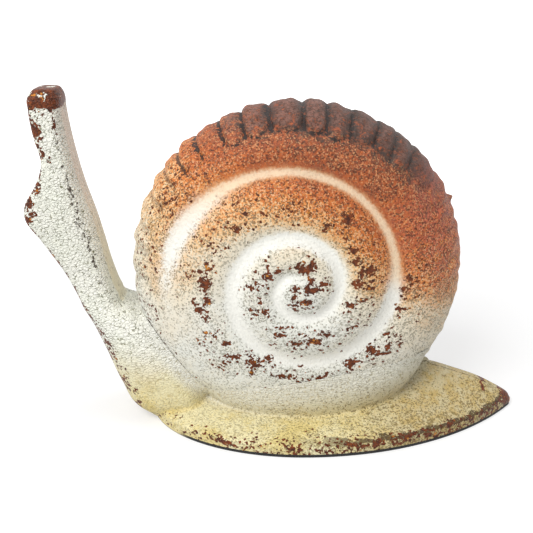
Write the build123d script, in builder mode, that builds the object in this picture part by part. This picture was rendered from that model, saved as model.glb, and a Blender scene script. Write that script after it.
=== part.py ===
"""Garden snail ornament: painted hollow iron castings, screwed together over a steel base plate.

Frame: millimetres, +Z up, the nose towards -X, the tail towards +X, the snail's left side at -Y.
The origin is on the underside of the pad, below the middle of the object.
"""
import math
import os

from build123d import *

os.makedirs("parts", exist_ok=True)

# Whole object
overall_length = 306.0
overall_height = 207.0
nose_x = -overall_length / 2
tail_x = overall_length / 2
cut_overrun = 20.0
casting_gap = 0.3
thread_gap = 0.05
shank_gap = 0.1
end_gap = 0.4

# Base: soft pad, steel plate and the leaf outline of the foot
pad_thickness = 2.2
plate_thickness = 3.0
plate_inset = 9.0
plate_top = pad_thickness + plate_thickness
foot_length = 236.0
foot_width = 132.0
foot_widest_share = 0.408
foot_front_x = tail_x - foot_length
foot_widest_x = foot_front_x + foot_widest_share * foot_length
foot_rim_height = 6.0
foot_rim_top = pad_thickness + foot_rim_height
foot_skin = 6.0
tail_tip_radius = 6.0

# Upper side of the foot, station by station from the front to the tail:
# place along the foot, height of the ridge above the rim, half breadth of the ridge
ridge_height = 24.5
ridge_half_breadth = 3.0
station_margin = 1.0
cavity_rim = 1.5
flank_sag_share = 0.03
foot_station_shares = [
    (-0.04, 0.10, 2.0),
    (0.10, 0.22, 2.0),
    (0.24, 0.30, 2.0),
    (0.41, 0.30, 2.0),
    (0.60, 0.62, 1.6),
    (0.74, 1.00, 1.0),
    (0.85, 0.65, 0.9),
    (0.95, 0.28, 0.8),
    (1.03, 0.02, 0.6),
]
tail_cavity_stations = slice(4, 8)

# Chest, neck and blunt upright head, level section by level section from the ground up:
# height, front face, back face, half breadth, radius of the upright edges
neck_reach = 106.0
neck_half_breadth = 30.0
neck_edge_radius = 6.5
neck_section_shares = [
    (0.0106, 0.625, 0.990, 0.800, 2.2),
    (0.0400, 0.555, 1.000, 0.930, 3.0),
    (0.1200, 0.472, 0.990, 1.000, 3.5),
    (0.2400, 0.387, 0.870, 0.950, 3.2),
    (0.3270, 0.316, 0.660, 0.800, 2.4),
    (0.3900, 0.264, 0.485, 0.650, 1.3),
    (0.4570, 0.206, 0.440, 0.605, 1.0),
    (0.5620, 0.085, 0.400, 0.600, 1.0),
    (0.6390, 0.003, 0.366, 0.600, 1.0),
    (0.6730, 0.011, 0.347, 0.585, 1.0),
    (0.7210, 0.066, 0.320, 0.560, 1.0),
    (0.7930, 0.119, 0.287, 0.530, 1.0),
    (0.8650, 0.092, 0.264, 0.510, 1.0),
    (0.9400, 0.078, 0.247, 0.490, 1.0),
    (0.9800, 0.082, 0.242, 0.460, 1.0),
    (1.0000, 0.102, 0.224, 0.380, 0.8),
]
chest_cavity_sections = slice(0, 4)

# Shell: a lens with a round rim, scalloped along its edge, with a spiral valley on each side
shell_radius = 101.5
shell_half_width = 50.0
shell_rim_radius = 40.0
shell_wall = 6.0
shell_x = 9.7
shell_z = 98.6
scallop_count = 40
scallop_depth = 2.8
scallop_shoulder = 20.0
scallop_shoulder_drop = 4.6
scallop_end = 38.0
scallop_end_drop = 21.0
spiral_start_radius = 12.0
spiral_first_pitch = 18.5
spiral_pitch_gain = 7.0
spiral_turns = 2.125
spiral_start_angle = 166.0
spiral_arcs_per_turn = 8
valley_radius = 9.0
valley_depth = 3.0

# Shell fasteners: one tie bolt on the axis and locating dowels round the rim
tie_bolt_diameter = 6.0
tie_head_diameter = 11.0
tie_head_height = 4.5
tie_head_sink = 0.6
tie_bolt_reach = 38.0
tie_washer_diameter = 12.5
tie_washer_thickness = 1.2
tie_boss_diameter = 19.0
dowel_diameter = 5.0
dowel_length = 16.0
dowel_lug_diameter = 13.0
shell_dowel_circle = 91.0
shell_dowel_angles = (45, 135, 225, 315)

# Body fasteners: slotted screws put in from the right side, and locating dowels
body_screw_diameter = 5.0
body_head_diameter = 9.0
body_head_height = 3.5
body_screw_seat = 12.0
body_screw_reach = 11.0
body_boss_diameter = 15.0
slot_width = 1.3
slot_depth = 1.5
body_screw_shares = [(0.078, 0.575), (0.222, 0.165), (0.868, 0.062)]
body_dowel_shares = [(0.066, 0.690), (0.165, 0.360), (0.930, 0.056)]

# Base plate screws, countersunk from below into the chest, the tail and both shell floors
plate_screw_diameter = 4.0
plate_head_diameter = 8.0
plate_screw_length = 14.0
plate_slot_depth = 0.9
plate_boss_diameter = 13.0
chest_screw_x = -66.0
chest_screw_y = 14.0
tail_screw_x = 106.0
tail_screw_y = 11.0
shell_screw_spread = 26.0
shell_screw_y = 9.0
shell_boss_height = 20.0

# Places worked out from the sizes above
shell_axis = Axis((shell_x, 0, shell_z), (0, 1, 0))
body_screw_places = [(nose_x + x * overall_length, z * overall_height) for x, z in body_screw_shares]
body_dowel_places = [(nose_x + x * overall_length, z * overall_height) for x, z in body_dowel_shares]
shell_dowel_places = [
    (shell_x + shell_dowel_circle * math.cos(math.radians(angle)),
     shell_z + shell_dowel_circle * math.sin(math.radians(angle)))
    for angle in shell_dowel_angles
]
body_plate_places = [(x, side * y) for side in (-1, 1)
                     for x, y in ((chest_screw_x, chest_screw_y), (tail_screw_x, tail_screw_y))]
shell_plate_places = [(shell_x + end * shell_screw_spread, side * shell_screw_y)
                      for side in (-1, 1) for end in (-1, 1)]
plate_hole_depth = plate_screw_length - plate_thickness + end_gap
tie_seat = shell_half_width - tie_head_sink - tie_head_height - tie_washer_thickness


def side_plane(y):
    """Upright plane at y, drawn in X and Z, that faces the snail's left side."""
    return Plane(origin=(0, y, 0), x_dir=(1, 0, 0), z_dir=(0, -1, 0))


def leaf_arc(inset):
    """Half breadth, run to the tail point and tail arc radius of the leaf drawn inwards by inset."""
    half = foot_width / 2 - inset
    run = tail_x - inset - foot_widest_x
    run += tail_tip_radius * ((run**2 + half**2) / (2 * half * run) - 1)
    return half, run, (run**2 + half**2) / (2 * half)


def foot_half_breadth(x):
    """Half breadth of the foot's outline at x, and that of its tip beyond the ends."""
    half, run, swing = leaf_arc(0)
    past = x - foot_widest_x
    if past <= 0:
        here = half * math.sqrt(max(0, 1 - (past / (foot_widest_x - foot_front_x))**2))
    else:
        here = half - swing + math.sqrt(swing**2 - min(past, run)**2)
    return max(here, tail_tip_radius) + station_margin


def leaf(height, thickness, inset):
    """Leaf-shaped slab of the foot's outline, drawn inwards by inset, from height upwards."""
    half, run, swing = leaf_arc(inset)
    front = foot_widest_x - foot_front_x - inset
    turn = math.degrees(math.atan2(run, swing - half))
    with BuildPart() as slab:
        with BuildSketch(Plane.XY.offset(height)) as outline:
            with BuildLine():
                for side in (1, -1):
                    EllipticalCenterArc((foot_widest_x, 0), front, half,
                                        start_angle=90 * side, arc_size=90 * side)
                    CenterArc((foot_widest_x, side * (half - swing)), swing, 90 * side, -turn * side)
            make_face()
            fillet(outline.vertices().sort_by(Axis.X)[-1], tail_tip_radius)
        extrude(amount=thickness)
    return slab.part


def foot_section(x, half, low, rim, top, ridge):
    """Bell-shaped section across the foot at x, with hollow flanks between rim and ridge."""
    middle = ((half + ridge) / 2, (rim + top) / 2 - flank_sag_share * (top - rim))
    with BuildSketch(Plane(origin=(x, 0, 0), x_dir=(0, 1, 0), z_dir=(1, 0, 0))) as section:
        with BuildLine():
            Polyline((-half, rim), (-half, low), (half, low), (half, rim))
            ThreePointArc((half, rim), middle, (ridge, top))
            Line((ridge, top), (-ridge, top))
            ThreePointArc((-ridge, top), (-middle[0], middle[1]), (-half, rim))
        make_face()
    return section.sketch


def foot_form():
    """Solid foot: the leaf outline under a skirt that rises to the ridge of the tail."""
    with BuildPart() as form:
        for place, rise, breadth in foot_station_shares:
            x = foot_front_x + place * foot_length
            add(foot_section(x, foot_half_breadth(x), pad_thickness, foot_rim_top,
                             foot_rim_top + rise * ridge_height, breadth * ridge_half_breadth))
        loft()
        add(leaf(pad_thickness, foot_rim_height + 2 * ridge_height, 0), mode=Mode.INTERSECT)
    return form.part


def tail_cavity():
    """Space under the skin of the tail, open downwards onto the base plate."""
    with BuildPart() as space:
        for place, rise, breadth in foot_station_shares[tail_cavity_stations]:
            x = foot_front_x + place * foot_length
            add(foot_section(x, foot_half_breadth(x) - plate_inset, plate_top, plate_top + cavity_rim,
                             foot_rim_top + rise * ridge_height - foot_skin,
                             breadth * ridge_half_breadth))
        loft()
    return space.part


def neck_form(sections, inset):
    """Chest, neck and head as one column of level sections, drawn inwards by inset."""
    with BuildPart() as form:
        for height, front, back, breadth, edge in sections:
            floor = plate_top if inset else pad_thickness
            x = nose_x + (front + back) / 2 * neck_reach
            with BuildSketch(Plane((x, 0, max(floor, height * overall_height)))):
                RectangleRounded((back - front) * neck_reach - 2 * inset,
                                 2 * (breadth * neck_half_breadth - inset), edge * neck_edge_radius - inset)
        loft()
    return form.part


def lens_arcs(growth):
    """Radius of the rim's centre line, crown radius and lean where crown and rim meet."""
    reach = shell_radius - shell_rim_radius
    width = shell_half_width + growth
    rim = shell_rim_radius + growth
    crown = (reach**2 + width**2 - rim**2) / (2 * (width - rim))
    return reach, crown, math.atan2(reach, crown - width)


def dome(growth):
    """Left side of the shell's outer form, grown outwards all over by growth."""
    reach, crown, lean = lens_arcs(growth)
    width = shell_half_width + growth
    rim = shell_rim_radius + growth
    with BuildPart() as form:
        with BuildSketch(Plane((shell_x, 0, shell_z))):
            with BuildLine():
                Polyline((0, -width), (0, 0), (reach + rim, 0))
                CenterArc((reach, 0), rim, 0, math.degrees(lean) - 90)
                CenterArc((0, crown - width), crown, -90, math.degrees(lean))
            make_face()
        revolve(axis=shell_axis)
    return form.part


def dome_height(radius):
    """Distance of the shell's outer face from the middle plane, at radius from the axis."""
    reach, crown, lean = lens_arcs(0)
    if radius > crown * math.sin(lean):
        return math.sqrt(shell_rim_radius**2 - (radius - reach)**2)
    return shell_half_width - crown + math.sqrt(crown**2 - radius**2)


def scalloped_form():
    """Fluted block whose lobes shape the shell's edge and run out over its shoulder."""
    pitch = 360 / scallop_count
    with BuildPart() as form:
        for y, drop in ((0, 0), (scallop_shoulder, scallop_shoulder_drop), (scallop_end, scallop_end_drop)):
            crest = shell_radius - drop
            with BuildSketch(Plane(origin=(shell_x, -y, shell_z), x_dir=(1, 0, 0), z_dir=(0, -1, 0))):
                with BuildLine():
                    for lobe in range(scallop_count):
                        valley = Vector(crest - scallop_depth, 0).rotate(Axis.Z, lobe * pitch)
                        top = Vector(crest, 0).rotate(Axis.Z, (lobe + 1 / 2) * pitch)
                        ThreePointArc(valley, top, valley.rotate(Axis.Z, pitch))
                make_face()
        loft(ruled=True)
        with BuildSketch(side_plane(-scallop_end)):
            with Locations((shell_x, shell_z)):
                Circle(shell_radius - scallop_end_drop - scallop_depth)
        extrude(amount=shell_half_width - scallop_end + cut_overrun)
    return form.part


def spiral_point(turn, lift):
    """Point of the spiral, lift above the shell's left face, after that many turns from its eye."""
    radius = spiral_start_radius + spiral_first_pitch * turn + spiral_pitch_gain * turn**2
    angle = math.radians(spiral_start_angle) + 2 * math.pi * turn
    return Vector(shell_x + radius * math.cos(angle), -dome_height(radius) - lift,
                  shell_z + radius * math.sin(angle))


def spiral_valley():
    """Lengths of the round-bottomed valley that winds into the eye of the spiral, outermost first."""
    lift = valley_radius - valley_depth
    count = round(spiral_turns * spiral_arcs_per_turn)
    points = [spiral_point(step / spiral_arcs_per_turn, lift) for step in range(count + 1)]
    early, late = (spiral_point(sign / (spiral_arcs_per_turn * count), lift) for sign in (-1, 1))
    tangent = late - early
    lengths = []
    for start, end in zip(points, points[1:]):
        with BuildPart() as length:
            with BuildLine() as path:
                TangentArc(start, end, tangent=tangent)
            with BuildSketch(Plane(origin=path.line @ 0, z_dir=path.line % 0)):
                Circle(valley_radius)
            sweep()
        tangent = path.line % 1
        lengths.insert(0, length.part)
    for end in (points[-1], points[0]):
        with BuildPart() as run_out:
            with Locations(end):
                Sphere(valley_radius)
        lengths.append(run_out.part)
    return lengths


def shell_half():
    """Left casting of the shell: dished, with bosses, lugs and a flat floor on the base plate."""
    with BuildPart() as hollow:
        add(dome(-shell_wall))
        with BuildSketch(side_plane(0)):
            with Locations((shell_x, shell_z)):
                Circle(tie_boss_diameter / 2)
        extrude(amount=shell_half_width, mode=Mode.SUBTRACT)
        with BuildSketch(side_plane(0)):
            with Locations(*shell_dowel_places):
                Circle(dowel_lug_diameter / 2)
        extrude(amount=dowel_length / 2 + shell_wall, mode=Mode.SUBTRACT)
        split(bisect_by=Plane.XY.offset(plate_top + shell_wall), keep=Keep.TOP)
        with BuildSketch(Plane.XY.offset(plate_top)):
            with Locations(*shell_plate_places):
                Circle(plate_boss_diameter / 2)
        extrude(amount=shell_boss_height, mode=Mode.SUBTRACT)
    with BuildPart() as half:
        add(dome(0))
        add(scalloped_form(), mode=Mode.INTERSECT)
        for length in spiral_valley():
            add(length, mode=Mode.SUBTRACT)
        add(hollow.part, mode=Mode.SUBTRACT)
        split(bisect_by=Plane.XY.offset(plate_top), keep=Keep.TOP)
        with BuildSketch(side_plane(0)):
            with Locations(*shell_dowel_places):
                Circle(dowel_diameter / 2 + thread_gap)
        extrude(amount=dowel_length / 2 + end_gap, mode=Mode.SUBTRACT)
        with BuildSketch(Plane.XY.offset(plate_top)):
            with Locations(*shell_plate_places):
                Circle(plate_screw_diameter / 2 + thread_gap)
        extrude(amount=plate_hole_depth, mode=Mode.SUBTRACT)
    return half.part


# Body: hollow casting of foot, chest, neck and head in two halves, the shell's seat cut through them
with BuildPart() as core:
    add(tail_cavity())
    add(neck_form(neck_section_shares[chest_cavity_sections], foot_skin))
    wall_form = dome(casting_gap + shell_wall)
    add(wall_form, mode=Mode.SUBTRACT)
    add(mirror(wall_form, about=Plane.XZ, mode=Mode.PRIVATE), mode=Mode.SUBTRACT)
    with BuildSketch(side_plane(0)):
        with Locations(*body_screw_places, *body_dowel_places):
            Circle(body_boss_diameter / 2)
    extrude(amount=foot_width, both=True, mode=Mode.SUBTRACT)
    with BuildSketch(Plane.XY.offset(plate_top)):
        with Locations(*body_plate_places):
            Circle(plate_boss_diameter / 2)
    extrude(amount=plate_screw_length + foot_skin, mode=Mode.SUBTRACT)

with BuildPart() as body:
    add(foot_form())
    add(neck_form(neck_section_shares, 0))
    add(core.part, mode=Mode.SUBTRACT)
    seat_form = dome(casting_gap)
    add(seat_form, mode=Mode.SUBTRACT)
    add(mirror(seat_form, about=Plane.XZ, mode=Mode.PRIVATE), mode=Mode.SUBTRACT)
    add(leaf(0, plate_top, plate_inset - casting_gap), mode=Mode.SUBTRACT)
    with BuildSketch(Plane.XY.offset(plate_top)):
        with Locations(*body_plate_places):
            Circle(plate_screw_diameter / 2 + thread_gap)
    extrude(amount=plate_hole_depth, mode=Mode.SUBTRACT)
    with BuildSketch(side_plane(dowel_length / 2 + end_gap)):
        with Locations(*body_dowel_places):
            Circle(dowel_diameter / 2 + thread_gap)
    extrude(amount=dowel_length + 2 * end_gap, mode=Mode.SUBTRACT)
    split(bisect_by=Plane.XZ, keep=Keep.TOP)

with BuildPart() as left_body_half:
    add(body.part)
    with BuildSketch(side_plane(0)):
        with Locations(*body_screw_places):
            Circle(body_screw_diameter / 2 + thread_gap)
    extrude(amount=body_screw_reach + end_gap, mode=Mode.SUBTRACT)
left_body_half.part.label = "left_body_half"

with BuildPart() as right_body_half:
    add(mirror(body.part, about=Plane.XZ, mode=Mode.PRIVATE))
    with BuildSketch(side_plane(0)):
        with Locations(*body_screw_places):
            Circle(body_screw_diameter / 2 + shank_gap)
    extrude(amount=-body_screw_seat, mode=Mode.SUBTRACT)
    with BuildSketch(side_plane(body_screw_seat)):
        with Locations(*body_screw_places):
            Circle(body_head_diameter / 2 + casting_gap)
    extrude(amount=-foot_width, mode=Mode.SUBTRACT)
right_body_half.part.label = "right_body_half"

with BuildPart() as body_screws:
    with BuildSketch(side_plane(body_screw_seat)):
        with Locations(*body_screw_places):
            Circle(body_screw_diameter / 2)
    extrude(amount=body_screw_seat + body_screw_reach)
    with BuildSketch(side_plane(body_screw_seat)):
        with Locations(*body_screw_places):
            Circle(body_head_diameter / 2)
    extrude(amount=-body_head_height)
    with BuildSketch(side_plane(body_screw_seat + body_head_height)):
        with Locations(*body_screw_places):
            Rectangle(body_head_diameter + cut_overrun, slot_width)
    extrude(amount=slot_depth, mode=Mode.SUBTRACT)
body_screws.part.label = "body_screws"

with BuildPart() as body_dowels:
    with BuildSketch(side_plane(dowel_length / 2)):
        with Locations(*body_dowel_places):
            Circle(dowel_diameter / 2)
    extrude(amount=dowel_length)
body_dowels.part.label = "body_dowels"

# Shell: two dished castings, drawn together along their axis
with BuildPart() as left_shell_half:
    add(shell_half())
    with BuildSketch(side_plane(0)):
        with Locations((shell_x, shell_z)):
            Circle(tie_bolt_diameter / 2 + thread_gap)
    extrude(amount=tie_bolt_reach + end_gap, mode=Mode.SUBTRACT)
left_shell_half.part.label = "left_shell_half"

with BuildPart() as right_shell_half:
    add(mirror(shell_half(), about=Plane.XZ, mode=Mode.PRIVATE))
    with BuildSketch(side_plane(0)):
        with Locations((shell_x, shell_z)):
            Circle(tie_bolt_diameter / 2 + shank_gap)
    extrude(amount=-tie_seat, mode=Mode.SUBTRACT)
    with BuildSketch(side_plane(tie_seat)):
        with Locations((shell_x, shell_z)):
            Circle(tie_washer_diameter / 2 + casting_gap)
    extrude(amount=-shell_half_width, mode=Mode.SUBTRACT)
right_shell_half.part.label = "right_shell_half"

with BuildPart() as shell_tie_washer:
    with BuildSketch(side_plane(tie_seat)):
        with Locations((shell_x, shell_z)):
            Circle(tie_washer_diameter / 2)
            Circle(tie_bolt_diameter / 2 + shank_gap, mode=Mode.SUBTRACT)
    extrude(amount=-tie_washer_thickness)
shell_tie_washer.part.label = "shell_tie_washer"

with BuildPart() as shell_tie_bolt:
    with BuildSketch(side_plane(tie_seat + tie_washer_thickness)):
        with Locations((shell_x, shell_z)):
            Circle(tie_bolt_diameter / 2)
    extrude(amount=tie_seat + tie_washer_thickness + tie_bolt_reach)
    with BuildSketch(side_plane(tie_seat + tie_washer_thickness)):
        with Locations((shell_x, shell_z)):
            Circle(tie_head_diameter / 2)
    extrude(amount=-tie_head_height)
    with BuildSketch(side_plane(tie_seat + tie_washer_thickness + tie_head_height)):
        with Locations((shell_x, shell_z)):
            Rectangle(tie_head_diameter + cut_overrun, slot_width)
    extrude(amount=slot_depth, mode=Mode.SUBTRACT)
shell_tie_bolt.part.label = "shell_tie_bolt"

with BuildPart() as shell_dowels:
    with BuildSketch(side_plane(dowel_length / 2)):
        with Locations(*shell_dowel_places):
            Circle(dowel_diameter / 2)
    extrude(amount=dowel_length)
shell_dowels.part.label = "shell_dowels"

# Base: steel plate let into the underside of the foot, its screws, and the soft pad over them
with BuildPart() as base_plate:
    add(leaf(pad_thickness, plate_thickness, plate_inset))
    with Locations(*[Location((x, y, pad_thickness), (180, 0, 0))
                     for x, y in body_plate_places + shell_plate_places]):
        CounterSinkHole(plate_screw_diameter / 2 + shank_gap, plate_head_diameter / 2 + shank_gap,
                        plate_thickness)
base_plate.part.label = "base_plate"

with BuildPart() as base_plate_screws:
    for x, y in body_plate_places + shell_plate_places:
        with BuildSketch(Plane(origin=(x, y, pad_thickness), x_dir=(1, 0, 0), z_dir=(0, -1, 0))):
            with BuildLine():
                Polyline((0, 0), (plate_head_diameter / 2, 0),
                         (plate_screw_diameter / 2, (plate_head_diameter - plate_screw_diameter) / 2),
                         (plate_screw_diameter / 2, plate_screw_length), (0, plate_screw_length), close=True)
            make_face()
        revolve(axis=Axis((x, y, 0), (0, 0, 1)))
    with BuildSketch(Plane.XY.offset(pad_thickness)):
        with Locations(*body_plate_places, *shell_plate_places):
            Rectangle(plate_head_diameter + slot_width, slot_width)
    extrude(amount=plate_slot_depth, mode=Mode.SUBTRACT)
base_plate_screws.part.label = "base_plate_screws"

with BuildPart() as base_pad:
    add(leaf(0, pad_thickness, 0))
base_pad.part.label = "base_pad"

for piece in (left_body_half, right_body_half, body_screws, body_dowels, left_shell_half, right_shell_half,
              shell_tie_bolt, shell_tie_washer, shell_dowels, base_plate, base_plate_screws, base_pad):
    export_step(piece.part, f"parts/{piece.part.label}.step")
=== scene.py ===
import math

import bpy
import numpy as np
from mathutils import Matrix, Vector


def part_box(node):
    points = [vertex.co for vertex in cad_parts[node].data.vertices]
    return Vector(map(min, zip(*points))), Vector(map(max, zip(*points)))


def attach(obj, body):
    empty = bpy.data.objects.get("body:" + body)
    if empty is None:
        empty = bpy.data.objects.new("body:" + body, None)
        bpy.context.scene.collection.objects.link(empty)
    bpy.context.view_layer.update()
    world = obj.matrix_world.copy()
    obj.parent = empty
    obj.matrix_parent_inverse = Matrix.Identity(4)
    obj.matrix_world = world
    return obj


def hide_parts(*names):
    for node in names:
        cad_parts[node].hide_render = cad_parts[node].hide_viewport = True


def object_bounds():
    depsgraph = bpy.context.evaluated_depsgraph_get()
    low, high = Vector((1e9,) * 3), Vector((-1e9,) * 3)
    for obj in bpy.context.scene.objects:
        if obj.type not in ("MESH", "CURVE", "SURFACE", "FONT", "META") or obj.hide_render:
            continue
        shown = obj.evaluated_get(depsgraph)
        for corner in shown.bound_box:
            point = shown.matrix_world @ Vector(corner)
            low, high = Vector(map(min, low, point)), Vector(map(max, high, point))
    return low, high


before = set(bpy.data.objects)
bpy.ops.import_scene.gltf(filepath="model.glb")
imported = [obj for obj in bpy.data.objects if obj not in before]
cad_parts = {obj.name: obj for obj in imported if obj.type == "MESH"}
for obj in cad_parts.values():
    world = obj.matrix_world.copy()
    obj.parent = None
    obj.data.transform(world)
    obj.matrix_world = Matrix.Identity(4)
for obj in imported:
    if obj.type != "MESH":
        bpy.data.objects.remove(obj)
cad_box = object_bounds()

# Base pad: a sheet of black rubber, cut to the outline of the foot and glued under it.
# Its cut edge is slightly rounded, and shows as a dark line below the painted rim.
MM = 0.001
pad_low, pad_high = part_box("base_pad")
foot_front = pad_low.x
tail_end = pad_high.x
foot_length = tail_end - foot_front
foot_half_width = pad_high.y
pad_top = pad_high.z
foot_widest_share = 0.408
foot_widest = foot_front + foot_widest_share * foot_length
tail_tip_radius = 6 * MM
pad_edge_round = 0.5 * MM
pad_inset = 0.4 * MM
leaf_panels = 240
weld_distance = MM / 100
overspray_fade = (-68 * MM, -58 * MM)
overspray_lift = (0.2 * MM, 0.6 * MM)


def leaf_half_breadth(x, inset):
    """Half breadth of the foot's leaf outline at x, drawn inwards by inset: an ellipse in front of its
    widest place, an arc behind it, and a small round tip."""
    half = foot_half_width - inset
    front = foot_widest - foot_front - inset
    run = tail_end - inset - foot_widest
    run += tail_tip_radius * ((run**2 + half**2) / (2 * half * run) - 1)
    swing = (run**2 + half**2) / (2 * half)
    past = x - foot_widest
    ellipse = half * np.sqrt(np.clip(1 - (past / front)**2, 0, 1))
    arc = half - swing + np.sqrt(swing**2 - np.clip(past, 0, run)**2)
    tip_centre = tail_end - inset - tail_tip_radius
    tip = np.sqrt(np.clip(tail_tip_radius**2 - (x - tip_centre)**2, 0, None))
    tip_from = tip_centre + tail_tip_radius * (swing - half) / swing
    return np.where(past < 0, ellipse, np.where(x < tip_from, arc, np.minimum(arc, tip)))


def points_of(piece):
    """The piece's vertices as an array of points."""
    flat = np.empty(len(piece.data.vertices) * 3)
    piece.data.vertices.foreach_get("co", flat)
    return flat.reshape(-1, 3)


def move_points(piece, points):
    """Puts the piece's vertices at these points."""
    piece.data.vertices.foreach_set("co", np.ascontiguousarray(points).ravel())
    piece.data.update()


def pick(piece):
    """Makes the piece the only one that the next operator acts on."""
    bpy.ops.object.select_all(action="DESELECT")
    piece.select_set(True)
    bpy.context.view_layer.objects.active = piece


def wrapped_sheet(name, around, along, place):
    """A sheet of around by along panels wrapped into a closed form: place gives a point for each share
    of a turn and each share of the way along. Its seam is joined and its open ends are filled."""
    bpy.ops.object.select_all(action="DESELECT")
    bpy.ops.mesh.primitive_grid_add(x_subdivisions=around, y_subdivisions=along, size=1)
    piece = bpy.context.object
    piece.name = piece.data.name = name
    turn, way = points_of(piece)[:, :2].T + 1 / 2
    move_points(piece, np.column_stack(place(turn, way)))
    bpy.ops.object.mode_set(mode="EDIT")
    bpy.ops.mesh.select_all(action="SELECT")
    bpy.ops.mesh.remove_doubles(threshold=weld_distance)
    bpy.ops.mesh.select_all(action="DESELECT")
    bpy.ops.mesh.select_mode(type="EDGE")
    bpy.ops.mesh.select_non_manifold()
    bpy.ops.mesh.edge_face_add()
    bpy.ops.mesh.select_all(action="SELECT")
    bpy.ops.mesh.normals_make_consistent(inside=False)
    bpy.ops.object.mode_set(mode="OBJECT")
    bpy.ops.object.shade_smooth()
    return piece


def leaf_slab(name, low, high, inset, edge_round):
    """Flat slab of the foot's outline from low to high, its upper and lower edges rounded."""
    bend_share = 0.3
    bend = bend_share * edge_round
    section = [(low, 1), (low, bend_share), (low + bend, 0),
               (high - bend, 0), (high, bend_share), (high, 1)]

    def place(turn, way):
        share = (1 - np.cos(2 * np.pi * turn)) / 2
        side = np.where(turn < 0.5, -1, 1)
        levels = np.linspace(0, 1, len(section))
        height = np.interp(way, levels, [level for level, _ in section])
        drawn_in = inset + edge_round * np.interp(way, levels, [draw for _, draw in section])
        x = foot_front + drawn_in + share * (foot_length - 2 * drawn_in)
        y = np.array([leaf_half_breadth(one_x, one_in) for one_x, one_in in zip(x, drawn_in)])
        return x, side * y, height

    return wrapped_sheet(name, leaf_panels, len(section) - 1, place)


class Wire:
    """A shader socket. Sums and products of wires add the Math nodes that work them out."""

    def __init__(self, tree, socket=None):
        self.tree = tree
        self.socket = socket

    def node(self, kind, settings, sockets, output=0):
        made = self.tree.nodes.new(kind)
        for name, value in settings.items():
            setattr(made, name, value)
        for name, value in sockets.items():
            if isinstance(value, Wire):
                self.tree.links.new(value.socket, made.inputs[name])
            else:
                made.inputs[name].default_value = value
        return Wire(self.tree, made.outputs[output])

    def math(self, operation, first, second):
        return self.node("ShaderNodeMath", {"operation": operation}, {0: first, 1: second})

    def __add__(self, other):
        return self.math("ADD", self, other)

    def __radd__(self, other):
        return self.math("ADD", other, self)

    def __sub__(self, other):
        return self.math("SUBTRACT", self, other)

    def __rsub__(self, other):
        return self.math("SUBTRACT", other, self)

    def __mul__(self, other):
        return self.math("MULTIPLY", self, other)

    def __rmul__(self, other):
        return self.math("MULTIPLY", other, self)

    def step(self, low, high):
        """0 below low and 1 above high, with a smooth change between them."""
        return self.node("ShaderNodeMapRange", {"interpolation_type": "SMOOTHSTEP"},
                         {"Value": self, "From Min": low, "From Max": high})

    def top(self, other):
        return self.math("MAXIMUM", self, other)

    def sway(self):
        """This wire of 0 to 1, moved to lie from -1/2 to 1/2."""
        return self - 1 / 2

    def near(self, place, reach):
        """1 where this wire equals place, falling to 0 at reach away from it."""
        return 1 - self.math("ABSOLUTE", self - place, 0).step(0, reach)

    def parts(self):
        """The three coordinates of a vector wire."""
        split = self.node("ShaderNodeSeparateXYZ", {}, {0: self}).socket.node
        return [Wire(self.tree, output) for output in split.outputs]

    def mix(self, under, over):
        """Colour under where this wire is 0 and colour over where it is 1."""
        return self.node("ShaderNodeMix", {"data_type": "RGBA"}, {0: self, 6: under, 7: over}, 2)


def new_finish(name):
    """A new material, its shader, and a wire of the piece's own coordinates."""
    material = bpy.data.materials.new(name)
    material.use_nodes = True
    tree = material.node_tree
    return material, tree.nodes["Principled BSDF"], Wire(tree).node("ShaderNodeTexCoord", {}, {}, "Object")


def grain(coords, size, detail=2, roughness=0.5):
    """Noise from 0 to 1 whose grains are about size across."""
    return coords.node("ShaderNodeTexNoise", {},
                       {"Vector": coords, "Scale": 1 / size, "Detail": detail, "Roughness": roughness})


def feed(shader, **wires):
    """Joins wires to the shader's sockets, and sets the sockets that are given plain numbers."""
    for name, value in wires.items():
        socket = shader.inputs[name.replace("_", " ")]
        if isinstance(value, Wire):
            value.tree.links.new(value.socket, socket)
        else:
            socket.default_value = value


def raise_surface(height, depth, strength):
    """Normal of a surface that the height wire lifts by up to depth."""
    sockets = {"Height": height, "Distance": depth, "Strength": strength}
    return height.node("ShaderNodeBump", {}, sockets, "Normal")


def srgb(red, green, blue):
    """Colour as a shader takes it, from red, green and blue of 0 to 255 as a screen shows it."""
    linear = [((level / 255 + 0.055) / 1.055)**2.4 for level in (red, green, blue)]
    return (*linear, 1)


def rubber_finish():
    """Black rubber with dust on it, and paint sprayed past the foot onto its front edge."""
    clean, dusty_and_sheen, sprayed = srgb(20, 20, 21), srgb(44, 42, 40), srgb(226, 210, 156)
    dust_size = 9 * MM
    dust_range = (0.45, 0.8)
    pore_size = 0.5 * MM
    pore_depth = 0.1 * MM
    spray_waver = 6 * MM
    material, shader, coords = new_finish("black_rubber")
    dust_and_sheen = grain(coords, dust_size, 5).step(*dust_range)
    along, _, height = coords.parts()
    overspray = 1 - (along + spray_waver * dust_and_sheen.sway()).step(*overspray_fade)
    overspray = overspray * height.step(*overspray_lift)
    feed(shader, Base_Color=overspray.mix(dust_and_sheen.mix(clean, dusty_and_sheen), sprayed), Roughness=0.62 + 0.25 * dust_and_sheen,
         Normal=raise_surface(grain(coords, pore_size), pore_depth, 0.6))
    return material


pad = leaf_slab("rubber_pad", pad_low.z, pad_top, pad_inset, pad_edge_round)
pad.data.materials.append(rubber_finish())
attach(pad, "root")
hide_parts("base_pad")


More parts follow.
